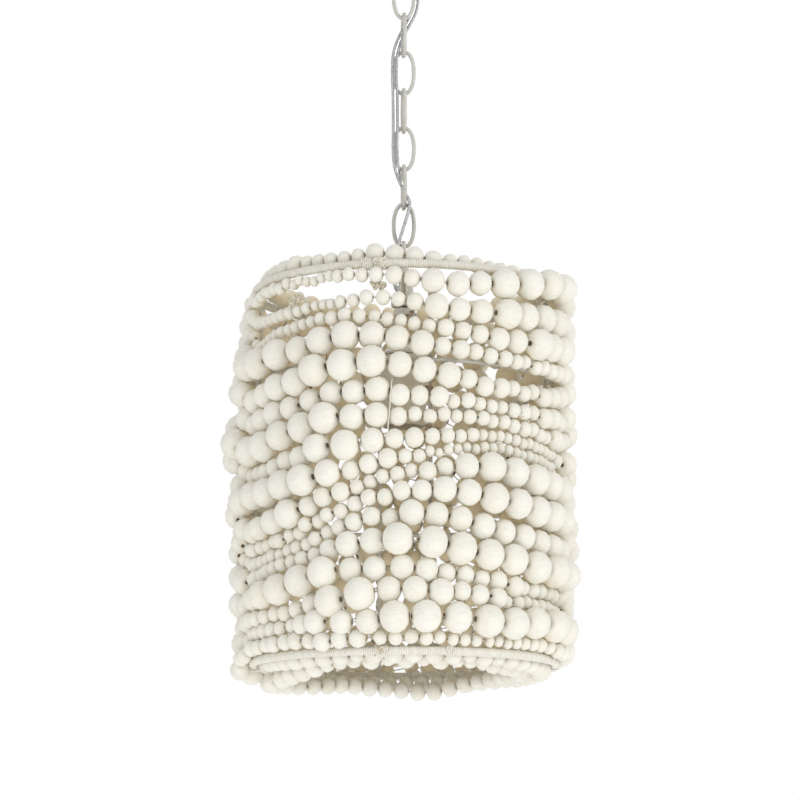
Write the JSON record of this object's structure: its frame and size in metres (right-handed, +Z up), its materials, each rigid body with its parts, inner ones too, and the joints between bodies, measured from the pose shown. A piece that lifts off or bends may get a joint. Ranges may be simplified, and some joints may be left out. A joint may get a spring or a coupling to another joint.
{
  "type": "beaded chandelier",
  "caption": "Cylindrical beaded chandelier: strings of round wooden beads on a twine-wrapped wire drum, hung by a short chain from a round ceiling canopy.",
  "frame": {"origin": "centre of the ceiling plate's upper face, where it meets the ceiling", "axes": "+Z up, the shade hangs down along -Z; -Y is the front, the side that the picture shows, +X to its right"},
  "size_m": [0.2982, 0.3072, 0.6717],
  "materials": {
    "bead_wood": "matte, white-washed",
    "twine": "matte, wrapped",
    "paint": "satin",
    "steel": "satin",
    "brass": "satin",
    "sleeve_card": "matte",
    "porcelain": "glossy",
    "clear_cord": "glossy, clear over grey wires"
  },
  "bodies": {
    "ceiling_mount": {"ceiling_plate": "steel", "plate_screw_left": "steel", "plate_screw_right": "steel", "canopy_nipple": "brass", "canopy": "paint", "lock_nut": "steel", "canopy_loop": "paint", "cord_1": "clear_cord"},
    "link_1": {"chain_link_1": "paint", "cord_2": "clear_cord"},
    "link_2": {"chain_link_2": "paint", "cord_3": "clear_cord"},
    "link_3": {"chain_link_3": "paint", "cord_4": "clear_cord"},
    "link_4": {"chain_link_4": "paint", "cord_5": "clear_cord"},
    "link_5": {"chain_link_5": "paint", "cord_6": "clear_cord"},
    "link_6": {"chain_link_6": "paint", "cord_7": "clear_cord"},
    "link_7": {"chain_link_7": "paint", "cord_8": "clear_cord"},
    "shade": {"shade_loop": "paint", "top_ring": "twine", "bottom_ring": "twine", "hoop_upper": "paint", "hoop_lower": "paint", "upright_1": "paint", "upright_2": "paint", "upright_3": "paint", "upright_4": "paint", "cross_bar": "paint", "stem": "brass", "coupling_nut": "steel", "socket_cap": "paint", "socket_sleeve": "sleeve_card", "socket_insulator": "porcelain", "socket_shell": "brass", "socket_contact": "brass", "beads_row_01": "bead_wood", "beads_row_02": "bead_wood", "beads_row_03": "bead_wood", "beads_row_04": "bead_wood", "beads_row_05": "bead_wood", "beads_row_06": "bead_wood", "beads_row_07": "bead_wood", "beads_row_08": "bead_wood", "beads_row_09": "bead_wood", "beads_row_10": "bead_wood", "beads_row_11": "bead_wood", "beads_row_12": "bead_wood", "beads_row_13": "bead_wood", "beads_row_14": "bead_wood", "beads_row_15": "bead_wood", "beads_row_16": "bead_wood", "beads_row_17": "bead_wood", "beads_crown": "bead_wood", "beads_lining": "bead_wood", "beads_fringe": "bead_wood"}
  },
  "joints": [
    {"name": "swing_1", "type": "hinge", "parent": "ceiling_mount", "child": "link_1", "pos_m": [0, 0, -0.05], "axis": [0, 1, 0], "range_deg": [-25, 25], "deforming": ["cord_1"]},
    {"name": "swing_2", "type": "hinge", "parent": "link_1", "child": "link_2", "pos_m": [0, 0, -0.0839], "axis": [1, 0, 0], "range_deg": [-25, 25], "deforming": ["cord_2"]},
    {"name": "swing_3", "type": "hinge", "parent": "link_2", "child": "link_3", "pos_m": [0, 0, -0.118], "axis": [0, 1, 0], "range_deg": [-25, 25], "deforming": ["cord_3"]},
    {"name": "swing_4", "type": "hinge", "parent": "link_3", "child": "link_4", "pos_m": [0, 0, -0.1521], "axis": [1, 0, 0], "range_deg": [-25, 25], "deforming": ["cord_4"]},
    {"name": "swing_5", "type": "hinge", "parent": "link_4", "child": "link_5", "pos_m": [0, 0, -0.1862], "axis": [0, 1, 0], "range_deg": [-25, 25], "deforming": ["cord_5"]},
    {"name": "swing_6", "type": "hinge", "parent": "link_5", "child": "link_6", "pos_m": [0, 0, -0.2203], "axis": [1, 0, 0], "range_deg": [-25, 25], "deforming": ["cord_6"]},
    {"name": "swing_7", "type": "hinge", "parent": "link_6", "child": "link_7", "pos_m": [0, 0, -0.2544], "axis": [0, 1, 0], "range_deg": [-25, 25], "deforming": ["cord_7"]},
    {"name": "swing_8", "type": "hinge", "parent": "link_7", "child": "shade", "pos_m": [0, 0, -0.2885], "axis": [1, 0, 0], "range_deg": [-25, 25], "deforming": ["cord_8"]}
  ]
}
